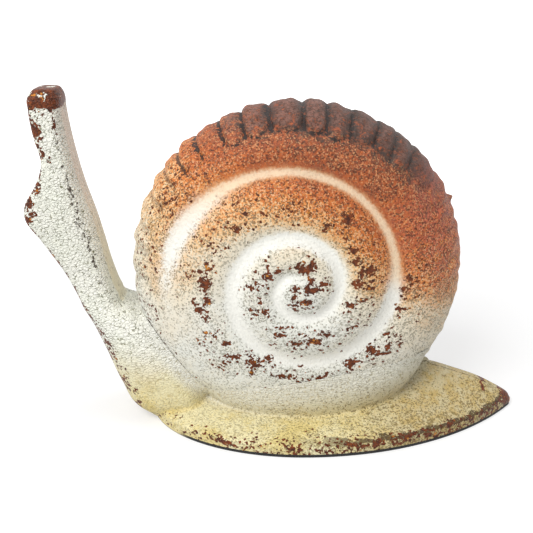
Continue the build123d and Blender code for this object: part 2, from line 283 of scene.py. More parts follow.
# Base plate and fasteners: mild steel plate and dowels, zinc-plated slotted screws and tie bolt.
# They hold the castings together from below and from the right side, and are left unpainted.
def steel_finish(name, bright, dull, scratch_size):
    """Steel with dull stains and fine scratches."""
    stain_size = 6 * MM
    stain_range = (0.4, 0.75)
    scratch_depth = 0.05 * MM
    material, shader, coords = new_finish(name)
    stain = grain(coords, stain_size, 6, 0.65).step(*stain_range)
    scratches = grain(coords, scratch_size, 3)
    feed(shader, Base_Color=stain.mix(bright, dull), Metallic=1 - 0.5 * stain,
         Roughness=0.28 + 0.2 * scratches + 0.3 * stain,
         Normal=raise_surface(scratches, scratch_depth, 0.4))
    return material


fine_scratch = 0.6 * MM
coarse_scratch = 1.4 * MM
zinc_plate = steel_finish("zinc_plated_steel", srgb(178, 176, 166), srgb(122, 96, 66), fine_scratch)
mill_plate = steel_finish("mill_steel_plate", srgb(112, 112, 112), srgb(84, 66, 54), coarse_scratch)
for node_name in ("body_screws", "body_dowels", "shell_tie_bolt", "shell_tie_washer", "shell_dowels",
                  "base_plate_screws"):
    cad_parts[node_name].data.materials.clear()
    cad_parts[node_name].data.materials.append(zinc_plate)
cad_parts["base_plate"].data.materials.clear()
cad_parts["base_plate"].data.materials.append(mill_plate)


# Shell: two dished iron castings, left and right, drawn together by the tie bolt through their axis.
# The mould gave each a scalloped edge and a spiral valley that winds into the eye of the shell.
# It was sprayed white, airbrushed orange to near black over the top, and has chipped along its crests.
shell_radius = 101.5 * MM
shell_half_width = 50 * MM
shell_rim_radius = 40 * MM
shell_low, shell_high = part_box("left_shell_half")
shell_x = (shell_low.x + shell_high.x) / 2
shell_z = shell_high.z - shell_radius
shell_floor = shell_low.z
scallop_count = 40
scallop_depth = 2.8 * MM
scallop_reach = 32 * MM
scallop_reach_sway = 3 * MM
scallop_round_end = 12 * MM
scallop_shoulder = (24 * MM, 42 * MM)
scallop_fade = (58 * MM, 84 * MM)
scallop_fade_tilt = 0.15
scallop_squareness = 2.4
scallop_stretch = 2.5 * MM
scallop_swell = (0.75, 1.0)
# Uneven spacing of the lobes: share of a lobe, waves in a turn, phase
scallop_wavers = [(0.15, 5, 1), (0.1, 13, 0)]
groove_share = 0.19
lump_height = 0.8 * MM
lump_fade = (58 * MM, 80 * MM)
lump_fade_tilt = 0.35
lump_edge = (26 * MM, 36 * MM)
# Waves of the uneven cast edge: waves in a turn, drift across the edge, phase
lump_waves = [(29, 8 * MM, 4), (47, 5 * MM, 0), (71, -4 * MM, 2)]
spiral_start = math.radians(166)
spiral_start_radius = 12 * MM
spiral_first_pitch = 18.5 * MM
spiral_pitch_gain = 7 * MM
spiral_fade_in = (-0.4, -0.05)
spiral_fade_out = (1.95, 2.2)
valley_depth = 3.4 * MM
valley_half_width = (5.0 * MM, 2.4 * MM)
pale_shift = -1.4 * MM
fine_size = 1.5 * MM
burr_angle = math.radians(24.7)
burr_height = 2.2 * MM
burr_size = 1.6 * MM
bolt_seat_radius = 6.55 * MM
bolt_seat_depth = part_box("shell_tie_washer")[0].y
shell_panels = (720, 118)
bore_sides = 48
cut_tolerance = MM / 1000
edge_band = (18 * MM, 34 * MM)
soot_band = (24 * MM, 40 * MM)
rosy_band = (34 * MM, 44 * MM)
narrow_pale_from = (40 * MM, 60 * MM)
# Sides of the shell: angle in degrees, and the cosines between which a mark grows to its full strength
right_side = (0, 0.4, 0.9)
rosy_side = (16, 0.85, 0.98)
soot_side = (78, 0.4, 0.9)
top_side = (90, 0.6, 0.95)
left_side = (165, 0.75, 0.97)
bleached_side = (180, 0.8, 0.98)
shaded_low_side = (-25, 0.4, 0.9)
# Airbrushed paint round the shell: angle in degrees, and tone from white at -0.4 to near black at 1.1
airbrush = [
    (-35, -0.3), (-12, -0.04), (6, 0.36), (24, 0.58), (52, 0.72), (88, 0.72), (114, 0.52), (136, 0.31),
    (160, 0.11), (176, 0.03), (192, -0.2), (214, -0.36), (240, -0.4), (270, -0.4),
]
bare_tone = airbrush[-1][1]
# How much of the airbrush reached the inner whorls: share, and power across the whorl
inner_whorl_tones = [(0.97, 0.62), (0.3, 0.8)]
# Tones of the shell's paint in red, green and blue
tone_colours = [
    (-0.4, (238, 238, 229)), (-0.15, (238, 226, 202)), (0.06, (234, 191, 138)), (0.28, (222, 141, 72)),
    (0.52, (192, 101, 49)), (0.78, (156, 80, 48)), (1.0, (104, 65, 49)), (1.16, (68, 54, 48)),
]
tone_start = -0.5
tone_scale = 0.6
# Larger bare patches on the whorls: place across and up from the eye, breadth and height, in mm
shell_patches = [
    (-53.5, 3, 7, 9), (-51.5, 15, 4, 2), (-56, 10, 4, 2), (-52, -7, 4, 5), (-58, -13.5, 4, 4),
    (-54, -19.5, 3, 4), (-42, -34.5, 4, 3), (-41, -44, 5, 2), (-36, -43.5, 4, 3), (-26.5, -47.5, 6, 7),
    (-17, -45, 4, 4), (-27, -55, 3, 4), (-7.5, -57, 8, 3), (5, -62, 4, 3), (12.5, -58.5, 4, 4),
    (32, -48, 7, 5), (44.5, -40, 6, 5), (50, -43, 8, 2), (54, -38.5, 3, 5), (53, -30, 5, 2),
    (-17, 9, 5, 5), (-12, 13, 5, 3), (-27, -11.5, 5, 2), (-10, -27, 5, 3), (-1.5, -33, 8, 3),
    (10, -31.5, 10, 5), (16, -27, 8, 3), (2, 14, 11, 5), (7, 16, 5, 5), (-2, 2, 4, 3), (-3, -3, 3, 3),
    (4, -6, 7, 3), (8, 1, 8, 5), (6.5, 6.5, 3, 5), (15, 5, 5, 3), (32.5, 17.5, 5, 3), (40, 12.5, 6, 5),
    (36, 9, 3, 6), (34, 4, 7, 4), (42, 5.5, 3, 3), (41, 1, 4, 3), (36, -6, 6, 2), (29.5, -9, 5, 3),
    (26.5, 41.5, 5, 6), (16, 38.5, 5, 2), (14, 36, 3, 2), (29.5, 24, 5, 3), (-34.5, 36.5, 5, 4),
    (-30, 44.5, 3, 2), (64.5, 5, 3, 3), (65, 0, 2, 3), (60.5, -2, 4, 3), (59, -14, 3, 2),
]


def smooth(value, low, high):
    """0 below low and 1 above high, with a smooth change between them."""
    share = np.clip((value - low) / (high - low), 0, 1)
    return share * share * (3 - 2 * share)


def crown_radius(width, rim):
    """Radius of the flat arc from the shell's eye, which runs smoothly into the round rim."""
    reach = shell_radius - shell_rim_radius
    return (reach**2 + width**2 - rim**2) / (2 * (width - rim))


def lens_profile(way, growth):
    """Radius, half width and outward lean along the shell's profile from its eye to its rim."""
    reach = shell_radius - shell_rim_radius
    width = shell_half_width + growth
    rim = shell_rim_radius + growth
    crown = crown_radius(width, rim)
    meet = math.atan2(reach, crown - width)
    crown_length = crown * meet
    along = way * (crown_length + rim * (math.pi / 2 - meet))
    on_crown = along < crown_length
    lean = np.where(on_crown, along / crown, meet + (along - crown_length) / rim)
    radius = np.where(on_crown, crown * np.sin(lean), reach + rim * np.sin(lean))
    half = np.where(on_crown, width - crown + crown * np.cos(lean), rim * np.cos(lean))
    return radius, half, lean


def tilted_level(angle, radius, tilt):
    """Height of points on the shell over a plane that slopes by tilt along the object."""
    return shell_z + radius * np.sin(angle) + tilt * radius * np.cos(angle)


def toward(angle, side):
    """1 on one side of the shell, fading to 0 away from it."""
    middle, low, high = side
    return smooth(np.cos(angle - math.radians(middle)), low, high)


def spiral_radius(turn):
    """Distance of the valley from the shell's axis after so many turns."""
    return spiral_start_radius + spiral_first_pitch * turn + spiral_pitch_gain * turn**2


def spiral_valley(angle, radius, shift):
    """How far each point lies in the spiral valley, from 0 to 1, with the valley moved
    outwards by shift."""
    first = ((angle - spiral_start) / (2 * np.pi)) % 1
    valley = np.zeros_like(radius)
    for whorl in (-1, 0, 1, 2):
        turn = first + whorl
        fade = smooth(turn, *spiral_fade_in) * (1 - smooth(turn, *spiral_fade_out))
        half_width = valley_half_width[0] + valley_half_width[1] * np.clip(turn, 0, None)
        valley += fade * np.exp(-((radius - spiral_radius(turn) - shift) / half_width)**2)
    return np.clip(valley, 0, 1)


def whorl_place(angle, radius):
    """The whorl each point lies on, 0 for the outermost and -1, -2 further in, and its share of the way
    across that whorl, from its inner valley to its outer one."""
    first = ((angle - spiral_start) / (2 * np.pi)) % 1
    spread = spiral_first_pitch**2 + 4 * spiral_pitch_gain * (radius - spiral_start_radius)
    past = (np.sqrt(spread) - spiral_first_pitch) / (2 * spiral_pitch_gain) - first
    outermost = np.where(first > spiral_fade_out[1] - 2, 1, 2)
    return np.floor(past) - outermost, past % 1


def scallop_marks(angle, radius, half):
    """Lobes of the scalloped edge, from 0 to 1, the lowered edge that they stand on, and their outlines:
    dark grooves beside them with painted shadow, and painted shadow below their ends on the top of the
    shell.
    """
    lobe = angle / (2 * np.pi) * scallop_count
    for waver, waves, phase in scallop_wavers:
        lobe = lobe + waver * np.sin(waves * angle + phase)
    draws = np.random.default_rng(11)
    stretch = draws.uniform(-scallop_stretch, scallop_stretch, scallop_count)
    swell = draws.uniform(*scallop_swell, scallop_count)
    number = np.floor(lobe).astype(int) % scallop_count
    across = 2 * (lobe % 1)**(1.25 - 0.35 * np.cos(angle)) - 1
    from_edge = shell_rim_radius * np.arctan2(half, radius - shell_radius + shell_rim_radius)
    end = scallop_reach + scallop_reach_sway * np.cos(angle - 0.7) + stretch[number]
    past = np.clip((from_edge - end) / scallop_round_end + 1, 0, None)
    corner = np.abs(across)**scallop_squareness + past**scallop_squareness
    lobes = swell[number] * np.sqrt(np.clip(1 - corner, 0, 1))
    low = 1 - smooth(from_edge, *scallop_shoulder)
    beside = np.exp(-((1 - np.abs(across)) / groove_share)**2) * (1 - smooth(past, 0.8, 1.2))
    # Painted shadow under the ends of the lobes, kept to the top of the shell.
    shadow_below_lobes = 0.75 * np.exp(-((across**2 + past**2 - 1.1) / 0.4)**2) * smooth(past, 0.5, 0.9)
    groove_and_shadow_lines = np.maximum(beside, shadow_below_lobes * toward(angle, top_side))
    shown = smooth(tilted_level(angle, radius, scallop_fade_tilt), *scallop_fade)
    shown *= 1 - 0.5 * toward(angle, right_side)
    return shown * lobes, shown * low, shown * groove_and_shadow_lines


def lumps(angle, radius, half):
    """Uneven swelling of the cast edge, from -1 to 1, gone where the body covers it."""
    swell = sum(np.sin(waves * angle + half / drift + phase) for waves, drift, phase in lump_waves)
    shown = smooth(tilted_level(angle, radius, lump_fade_tilt), *lump_fade) * (1 - smooth(half, *lump_edge))
    return swell / len(lump_waves) * shown


def mark(piece, name, values):
    """Keeps a value for each vertex, which the finish reads by name."""
    piece.data.attributes.new(name, "FLOAT", "POINT").data.foreach_set("value", values.astype(np.float32))


def patches(x, z, places):
    """Bare patches: 1 in the middle of each place, and 1/2 at its edge."""
    worn = np.zeros_like(x)
    for across, up, breadth, height in places:
        away = ((x - across * MM) / (breadth * MM / 2))**2 + ((z - up * MM) / (height * MM / 2))**2
        worn = np.maximum(worn, 0.5**away)
    return worn


def shell_form(name, side):
    """One casting of the shell, on the side of -1 or 1."""
    def place(turn, way):
        angle = 2 * np.pi * turn
        radius, half, lean = lens_profile(way, 0)
        lobes, low, _ = scallop_marks(angle, radius, half)
        burr = np.exp(-((angle - burr_angle) * shell_radius / burr_size)**2 - (half / (2 * burr_size))**2)
        lift = scallop_depth * (lobes - low) - valley_depth * spiral_valley(angle, radius, 0)
        lift += burr_height * burr + lump_height * lumps(angle, radius, half)
        out = radius + lift * np.sin(lean)
        y = side * (half + lift * np.cos(lean))
        return shell_x + out * np.cos(angle), y, shell_z + out * np.sin(angle)

    return wrapped_sheet(name, *shell_panels, place)


def cut(piece, tool):
    """Cuts the closed form tool out of the piece, and removes the tool."""
    pick(piece)
    change = piece.modifiers.new("cut", "BOOLEAN")
    change.solver = "MANIFOLD"
    change.object = tool
    bpy.ops.object.modifier_apply(modifier=change.name)
    bpy.data.objects.remove(tool)


def bore(piece, radius, x, z, floor):
    """Bores a round hole into the piece from the right, down to floor."""
    bpy.ops.object.select_all(action="DESELECT")
    depth = foot_half_width
    bpy.ops.mesh.primitive_cylinder_add(vertices=bore_sides, radius=radius, depth=depth,
                                        location=(x, floor + depth / 2, z), rotation=(math.pi / 2, 0, 0))
    bpy.ops.object.transform_apply(location=True, rotation=True, scale=True)
    cut(piece, bpy.context.object)


def slice_off(piece, point, normal):
    """Cuts the piece by a plane, takes away what lies in front of it and fills the cut."""
    pick(piece)
    bpy.ops.object.mode_set(mode="EDIT")
    bpy.ops.mesh.select_all(action="SELECT")
    bpy.ops.mesh.bisect(plane_co=point, plane_no=normal, use_fill=True, clear_outer=True,
                        threshold=cut_tolerance)
    bpy.ops.object.mode_set(mode="OBJECT")


def mark_shell(piece):
    """Gives a shell casting the marks that its paint follows."""
    x, y, z = points_of(piece).T
    half = np.abs(y)
    angle = np.arctan2(z - shell_z, x - shell_x) % (2 * np.pi)
    radius = np.hypot(x - shell_x, z - shell_z)
    whorl, share = whorl_place(angle, radius)
    lobes, _, groove_and_shadow_lines = scallop_marks(angle, radius, half)
    edge = 1 - smooth(half, *edge_band)
    sprayed = np.interp(np.degrees(angle), *zip(*airbrush), period=360)
    deep_orange = smooth(sprayed, 0.3, 0.7)
    inner_reach = [tone * share**power for tone, power in inner_whorl_tones]
    reach = np.select([whorl >= 0, whorl == -1, whorl == -2], [1, *inner_reach], 0)
    tint = bare_tone + reach * (sprayed - bare_tone) + 0.14 * edge * deep_orange
    tint += 0.34 * (1 - smooth(half, *soot_band)) * toward(angle, soot_side)
    tint -= 0.2 * edge * toward(angle, bleached_side)
    mark(piece, "tint", tint)
    mark(piece, "valley", spiral_valley(angle, radius, 0))
    narrow = 2.2 + 4.6 * deep_orange * smooth(radius, *narrow_pale_from)
    mark(piece, "pale", spiral_valley(angle, radius, pale_shift)**narrow)
    mark(piece, "groove_and_shadow_lines", groove_and_shadow_lines)
    mark(piece, "lobes", lobes)
    mark(piece, "rosy", (1 - smooth(half, *rosy_band)) * toward(angle, rosy_side))
    sheltered = smooth(sprayed, 0.15, 0.6)
    outer_crest = np.exp(-((share - 0.28) / 0.16)**2) * (1 - sheltered)
    inner_crest = np.exp(-((share - 0.5) / 0.26)**2) * (1 - 0.5 * sheltered)
    chance = np.where(whorl >= 0, outer_crest, inner_crest)
    # Denser dark specks on the outer band to the left and at the lower right; at the lower right they are
    # partly real specks and partly painted shade.
    outer_specks = np.maximum(0.8 * (1 - edge) * toward(angle, left_side), 0.7 * toward(angle, shaded_low_side))
    mark(piece, "chance", chance)
    mark(piece, "speckle", np.maximum(chance, (whorl >= 0) * outer_specks))
    mark(piece, "worn", patches(x - shell_x, z - shell_z, shell_patches))


left_shell = shell_form("left_shell", -1)
right_shell = shell_form("right_shell", 1)
for half_shell in (left_shell, right_shell):
    slice_off(half_shell, (0, 0, shell_floor), (0, 0, -1))
bore(right_shell, bolt_seat_radius, shell_x, shell_z, bolt_seat_depth)
for half_shell in (left_shell, right_shell):
    mark_shell(half_shell)


def mark_of(coords, name):
    """The value that a piece's vertices keep under this name."""
    return coords.node("ShaderNodeAttribute", {"attribute_name": name}, {}, "Fac")


def cells(coords, size, feature, output):
    """Cells about size across, with ragged outlines."""
    ragged = 0.7 * size
    scale = 1 / size
    shake = coords.node("ShaderNodeTexNoise", {}, {"Vector": coords, "Scale": scale, "Detail": 2}, "Color")
    shaken = coords.node("ShaderNodeVectorMath", {"operation": "MULTIPLY_ADD"},
                         {0: shake, 1: (ragged, ragged, ragged), 2: coords})
    return coords.node("ShaderNodeTexVoronoi", {"feature": feature},
                       {"Vector": shaken, "Scale": scale}, output)


def worn_paint(shader, coords, colour, relief, worn, chance):
    """Old paint over rusty iron. It is gone in ragged patches where worn is above 1/2, and in single flakes
    where chance nears 1; relief raises its grains."""
    deep_rust, light_rust, fresh_rust = srgb(64, 28, 12), srgb(136, 66, 24), srgb(206, 132, 48)
    flake_size = 1.8 * MM
    small_flake_size = 1.4 * MM
    tear_size = 1.6 * MM
    cluster_size = 9 * MM
    pit_size = 2.2 * MM
    fresh_size = 4.2 * MM
    paint_thickness = 0.6 * MM
    flakes, small_flakes = [cells(coords, size, "F1", "Color").parts()[0]
                            for size in (flake_size, small_flake_size)]
    clusters = grain(coords, cluster_size).step(0.35, 0.65)
    torn = worn + 0.7 * flakes.sway() + 0.4 * grain(coords, tear_size).sway()
    flaking = small_flakes + 0.3 * (chance * clusters).top(worn.step(0.02, 0.3))
    chip = torn.step(0.53, 0.57).top(flaking.step(1.0, 1.02))
    pits = grain(coords, pit_size, 4, 0.7)
    rust = pits.step(0.35, 0.7).mix(deep_rust, light_rust)
    rust = grain(coords, fresh_size, 3).step(0.62, 0.7).mix(rust, fresh_rust)
    height = relief - 0.9 * chip + 0.3 * chip * pits
    feed(shader, Base_Color=chip.mix(colour, rust), Roughness=0.52 - 0.12 * chip, Specular_IOR_Level=0.28,
         Normal=raise_surface(height, paint_thickness, 1.0))


def under_shade(coords, colour):
    """Colour made dull and darker near the foot: painted shade low down under the shell."""
    painted_shade_colour = srgb(204, 198, 172)
    waver = 10 * MM
    waver_size = 14 * MM
    dull_band = (10 * MM, 44 * MM)
    along, _, height = coords.parts()
    level = height - 0.2 * along + waver * grain(coords, waver_size, 3).sway()
    return (0.8 - 0.8 * level.step(*dull_band)).mix(colour, painted_shade_colour)


def airbrushed(tone):
    """Colour of the shell's paint at each tone."""
    shades = tone.node("ShaderNodeValToRGB", {}, {"Fac": (tone - tone_start) * tone_scale})
    ramp = shades.socket.node.color_ramp
    for number, (level, shade) in enumerate(tone_colours):
        stop = ramp.elements[number] if number < 2 else ramp.elements.new(1)
        stop.position = (level - tone_start) * tone_scale
        stop.color = srgb(*shade)
    return shades


def shell_finish():
    """Airbrushed paint with light flecks and dark specks, a painted sheen on the dark lobes, dark lines and
    painted shadow round the lobes, and a pale valley.
    """
    rose, dust_and_sheen = srgb(196, 104, 84), srgb(182, 124, 106)
    light_fleck, orange_fleck = srgb(246, 218, 176), srgb(220, 162, 112)
    grey_speck, brown_speck, groove_shadow_black = srgb(112, 104, 72), srgb(72, 42, 28), srgb(46, 37, 34)
    cream_edge, cream, valley_white = srgb(226, 172, 118), srgb(250, 226, 192), srgb(247, 246, 238)
    cloud_size = 14 * MM
    small_cloud_size = 8 * MM
    mottle_size = 4 * MM
    grit_size = 0.75 * MM
    stipple_size = 0.8 * MM
    material, shader, coords = new_finish("airbrushed_shell_paint")
    tint, valley, pale, groove_and_shadow_lines, lobes, rosy, chance, speckle, worn = [
        mark_of(coords, name)
        for name in ("tint", "valley", "pale", "groove_and_shadow_lines", "lobes", "rosy", "chance", "speckle", "worn")]
    rough = 1 - 0.7 * valley.step(0.65, 0.97)
    warm = tint.step(-0.25, 0.3)
    fine = grain(coords, fine_size, 3, 0.6)
    mottle = grain(coords, mottle_size, 3, 0.6)
    clouds = 0.3 * grain(coords, cloud_size, 3).sway()
    small_clouds = 0.4 * warm * grain(coords, small_cloud_size, 4, 0.6).sway()
    uneven = (0.5 * lobes + 0.8 * tint.step(0.7, 1.0)) * mottle.sway()
    tone = tint + clouds + small_clouds + uneven + rough * (0.2 + warm) * fine.sway()
    rosy_paint = (0.55 * rosy * mottle.step(0.25, 0.6)).mix(airbrushed(tone), rose)
    # Painted shade: the paint turns dull and darker low down towards the foot.
    colour = under_shade(coords, rosy_paint)

    grit, light_grit, _ = cells(coords, grit_size, "F1", "Color").parts()
    flecks = light_grit.step(0.6, 0.95) * rough * tint.step(-0.1, 0.2) * (1 - tint.step(0.85, 1.1))
    colour = (0.6 * flecks).mix(colour, tint.step(0.15, 0.7).mix(light_fleck, orange_fleck))
    # Painted sheen: a lighter pinkish grey on the raised dark lobes.
    dusty_and_sheen = lobes.step(0.5, 0.9) * tint.step(0.55, 0.95) * mottle.step(0.38, 0.58)
    colour = (0.42 * dusty_and_sheen).mix(colour, dust_and_sheen)
    crest = speckle.top(worn.step(0.01, 0.2))
    specks = rough * (grit + 0.17 * crest + 0.08 * warm + 0.5 * mottle.sway()).step(0.74, 1.0)
    colour = ((0.56 + 0.22 * warm) * specks).mix(colour, warm.mix(grey_speck, brown_speck))

    # Dark lines between the lobes and under their ends: dark grooves and painted shadow of the lobes.
    ragged = groove_and_shadow_lines * (0.8 + 1.8 * mottle.sway()) + 1.1 * fine.sway()
    dark_lines = ragged.step(0.5, 0.66) * groove_and_shadow_lines.step(0.05, 0.2) * (0.2 + 0.75 * tint.step(0.0, 0.5))
    colour = dark_lines.mix(colour, groove_shadow_black)
    pale_cream = (pale + 0.5 * fine.sway()).step(0.4, 1.0).mix(cream_edge, cream)
    pale_paint = tint.step(0.05, 0.45).mix(valley_white, pale_cream)
    covered = pale + 0.9 * fine.sway() + 0.6 * mottle.sway() - 0.25 * specks
    pale_cover = covered.step(0.1, 0.7 + 0.32 * tint.step(0.05, 0.4)) * (0.96 - 0.2 * tint.step(0.2, 0.8))
    colour = pale_cover.mix(colour, pale_paint)

    stipple = 0.2 * grain(coords, stipple_size)
    relief = (0.9 + 0.4 * rough) * fine - 0.6 * specks - 0.4 * dark_lines + stipple
    worn_paint(shader, coords, colour, relief, worn, chance)
    return material


shell_paint = shell_finish()
for half_shell, node_name in ((left_shell, "left_shell_half"), (right_shell, "right_shell_half")):
    half_shell.data.materials.clear()
    half_shell.data.materials.append(shell_paint)
    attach(half_shell, "root")
    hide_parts(node_name)


# Body: foot, chest, neck and blunt head, cast in a left and a right half that meet in the middle plane.
# The halves are screwed and dowelled together round the shell, and their paint runs up onto it in a fillet.
# White paint with short grey cracks covers the neck, yellow the foot; edges and tips are rubbed to rust.
nose = cad_box[0].x
top_height = cad_box[1].z
neck_reach = 106 * MM
neck_half_breadth = 30 * MM
# Level sections from the ground up: height, front face, back face, half breadth, squareness
neck_shares = [
    (-0.0120, 0.660, 0.985, 0.760, 2.6),
    (0.0106, 0.625, 0.990, 0.800, 2.6),
    (0.0400, 0.555, 1.000, 0.930, 2.6),
    (0.1200, 0.472, 0.990, 1.000, 2.6),
    (0.2400, 0.387, 0.870, 0.950, 2.8),
    (0.3270, 0.316, 0.680, 0.800, 3.2),
    (0.3450, 0.301, 0.600, 0.755, 3.5),
    (0.3600, 0.288, 0.525, 0.715, 3.8),
    (0.3900, 0.264, 0.492, 0.650, 4.0),
    (0.4570, 0.206, 0.450, 0.605, 4.6),
    (0.5620, 0.085, 0.406, 0.600, 6.0),
    (0.6390, 0.002, 0.370, 0.600, 9.0),
    (0.6730, 0.009, 0.350, 0.585, 9.0),
    (0.7210, 0.064, 0.322, 0.560, 6.0),
    (0.7930, 0.119, 0.288, 0.530, 7.0),
    (0.8650, 0.092, 0.264, 0.510, 8.0),
    (0.9400, 0.076, 0.247, 0.490, 8.0),
    (0.9800, 0.078, 0.242, 0.460, 7.0),
    (0.9980, 0.102, 0.224, 0.380, 3.4),
]
neck_back_square = 3.0
rim_height = 6 * MM
rim_top = pad_top + rim_height
sole_spare = 4 * MM
ridge_height = 24.5 * MM
ridge_half_breadth = 3 * MM
ridge_limit_share = 0.6
flank_hollow = 1.06
# Stations along the foot: place, rise of the ridge, half breadth of the ridge
foot_shares = [
    (-0.04, 0.10, 2.0), (0.10, 0.22, 2.0), (0.24, 0.30, 2.0), (0.41, 0.30, 2.0), (0.60, 0.62, 1.6),
    (0.74, 0.92, 1.0), (0.85, 0.63, 0.9), (0.95, 0.28, 0.8), (1.03, 0.02, 0.6),
]
neck_panels = (96, 160)
foot_panels = (240, 200)
lens_panels = (360, 160)
skin_grain = 0.9 * MM
fillet_reach = 16 * MM
fillet_top = (62 * MM, 74 * MM)
crease_gap = (0.2 * MM, 1.4 * MM)
ridge_spared = (5 * MM, 20 * MM)
crown_round_shares = (0.95, 0.99)
core_draw = 0.6 * MM
flare_size = 7 * MM
flare_tilt = 0.2
flare_fade = (10 * MM, 42 * MM)
flare_lean = (math.radians(50), math.radians(79))
burr_x = 94.5 * MM
ridge_burr_height = 3 * MM
ridge_burr_size = 2.8 * MM
tail_round_from = 134 * MM
tail_tip_from = 126 * MM
tail_tip_drop = 0.38
# Passes that even out the skin all over, in the fillet, at the crown and at the tip of the tail
skin_passes, fillet_passes, crown_passes, tip_passes = 3, 130, 10, 70
# Places along the body and heights between which its paint changes
yellow_band = (18 * MM, 62 * MM)
upright_band = (58 * MM, 84 * MM)
rear_band = (20 * MM, 90 * MM)
strip_edge = (-9 * MM, -6 * MM)
strip_fade = (90 * MM, 160 * MM)
seat_reach = (2 * MM, 11 * MM)
edge_crack_from = (84 * MM, 98 * MM)
edge_crack_to = (178 * MM, 192 * MM)
rim_line_reach = 1.3 * MM
rim_line_from = (-10 * MM, 60 * MM)
seam_place = 2.7 * MM
seam_reach = 0.5 * MM
seam_from = (90 * MM, 96 * MM)
seam_above = (12 * MM, 15 * MM)
rim_speck_reach = 16 * MM
speck_from = (-70 * MM, 60 * MM)
crown_band = (194 * MM, 197 * MM)
crown_top = (199 * MM, 203 * MM)
chest_end = (-80 * MM, -66 * MM)
front_from = (14 * MM, 24 * MM)
front_full = (40 * MM, 80 * MM)
tail_tip_bare = (142 * MM, 147 * MM)
rim_wear_below = 1 * MM
rim_wear_above = 2.5 * MM
rim_wear_from = (-30 * MM, 70 * MM)
screw_shares = [(0.078, 0.575), (0.222, 0.165), (0.868, 0.062)]
screw_bore_radius = 4.8 * MM
screw_seat = 12 * MM
# Bare patches on the neck, nose and tail: place along and up, breadth and height, in mm
body_patches = [
    (-127.5, 187, 5, 9), (-141.5, 184, 7, 10), (-140, 174, 3, 4), (-137.5, 170, 2, 4), (-135, 167, 3, 3),
    (-122, 174.5, 5, 5), (-121, 162, 5, 3), (-116, 152.5, 2, 2), (-142.5, 150, 3, 6), (-147.5, 141, 4, 9),
    (-149.5, 131, 4, 5), (-136, 194, 2, 2), (-127, 195, 4, 9), (-144, 193, 3, 10), (-146, 135, 5, 2),
    (134, 18, 5, 2), (132, 16, 2, 3), (-91, 11, 5, 5), (-89, 15, 3, 3), (-34, 5.5, 9, 3), (-28, 4.5, 4, 2),
    (-41, 6, 4, 2), (6, 6, 4, 2), (22, 5, 6, 2), (48, 6, 7, 3), (60, 5, 4, 2), (76, 7, 6, 3), (90, 6, 5, 3),
    (104, 8, 6, 3), (118, 6, 5, 3),
]


def through(shares, column, at):
    """Smooth curve through one column of a table of shares, read where the first column is at."""
    places = np.array([row[0] for row in shares])
    values = np.array([row[column] for row in shares])
    slopes = np.gradient(values, places)
    left = np.clip(np.searchsorted(places, at) - 1, 0, len(places) - 2)
    gap = places[left + 1] - places[left]
    s = np.clip((at - places[left]) / gap, 0, 1)
    return ((1 + 2 * s) * (1 - s)**2 * values[left] + s * (1 - s)**2 * gap * slopes[left]
            + s * s * (3 - 2 * s) * values[left + 1] + s * s * (s - 1) * gap * slopes[left + 1])


def neck_place(turn, way):
    """Rounded square section of the neck, which leans forward as it rises from the chest to the head."""
    level = neck_shares[0][0] + way * (neck_shares[-1][0] - neck_shares[0][0])
    front, back, breadth, square = [through(neck_shares, column, level) for column in (1, 2, 3, 4)]
    angle = 2 * np.pi * turn
    bulge = 2 / np.where(np.cos(angle) > 0, neck_back_square, square)
    x = np.sign(np.cos(angle)) * np.abs(np.cos(angle))**bulge
    y = np.sign(np.sin(angle)) * np.abs(np.sin(angle))**bulge
    middle = nose + (front + back) / 2 * neck_reach
    return middle + x * (back - front) / 2 * neck_reach, y * breadth * neck_half_breadth, level * top_height


def foot_place(turn, way):
    """Bell-shaped section across the foot: underside, rim, and flanks that rise to the ridge."""
    sole_end, rim_end, flank_end = 0.4, 0.48, 0.96
    x = foot_front + foot_length * (1 - np.cos(np.pi * way)) / 2
    share = (x - foot_front) / foot_length
    half = leaf_half_breadth(x, 0)
    ridge = np.minimum(through(foot_shares, 2, share) * ridge_half_breadth, ridge_limit_share * half)
    ridge_rise = through(foot_shares, 1, share) * ridge_height
    side = np.where(turn < 0.5, -1, 1)
    walk = np.where(turn < 0.5, turn, 1 - turn) * 2
    rise = np.clip((walk - rim_end) / (flank_end - rim_end), 0, 1)
    flank = half + (ridge - half) * rise
    over_ridge = ridge * (1 - walk) / (1 - flank_end)
    above = np.where(walk < flank_end, flank, over_ridge)
    breadth = np.where(walk < sole_end, half * walk / sole_end, above)
    sole = pad_top - sole_spare
    edge = sole + (rim_top - sole) * np.clip((walk - sole_end) / (rim_end - sole_end), 0, 1)
    height = np.where(walk > rim_end, rim_top + ridge_rise * rise**flank_hollow, edge)
    return x, side * breadth, height


def lens_form(name, growth, flare):
    """The shell's plain lens, grown outwards all over by growth, and by flare more round its foot."""
    def place(turn, way):
        angle = 2 * np.pi * turn
        radius, half, lean = lens_profile(1 - np.abs(2 * way - 1), growth)
        level = tilted_level(angle, radius, -flare_tilt)
        lift = flare * (1 - smooth(level, *flare_fade)) * (1 - smooth(lean, *flare_lean))
        out = radius + lift * np.sin(lean)
        y = np.where(way < 0.5, -1, 1) * (half + lift * np.cos(lean))
        return shell_x + out * np.cos(angle), y, shell_z + out * np.sin(angle)

    return wrapped_sheet(name, *lens_panels, place)


def neighbour_mean(pairs, values):
    """Mean of the values at each vertex's neighbours."""
    here = pairs.ravel()
    there = pairs[:, ::-1].ravel()
    total = [np.bincount(here, column[there], len(values)) for column in values.T]
    return np.column_stack(total) / np.bincount(here, minlength=len(values))[:, None]


def edges_of(piece):
    """The two vertices of each of the piece's edges."""
    flat = np.empty(len(piece.data.edges) * 2, int)
    piece.data.edges.foreach_get("vertices", flat)
    return flat.reshape(-1, 2)


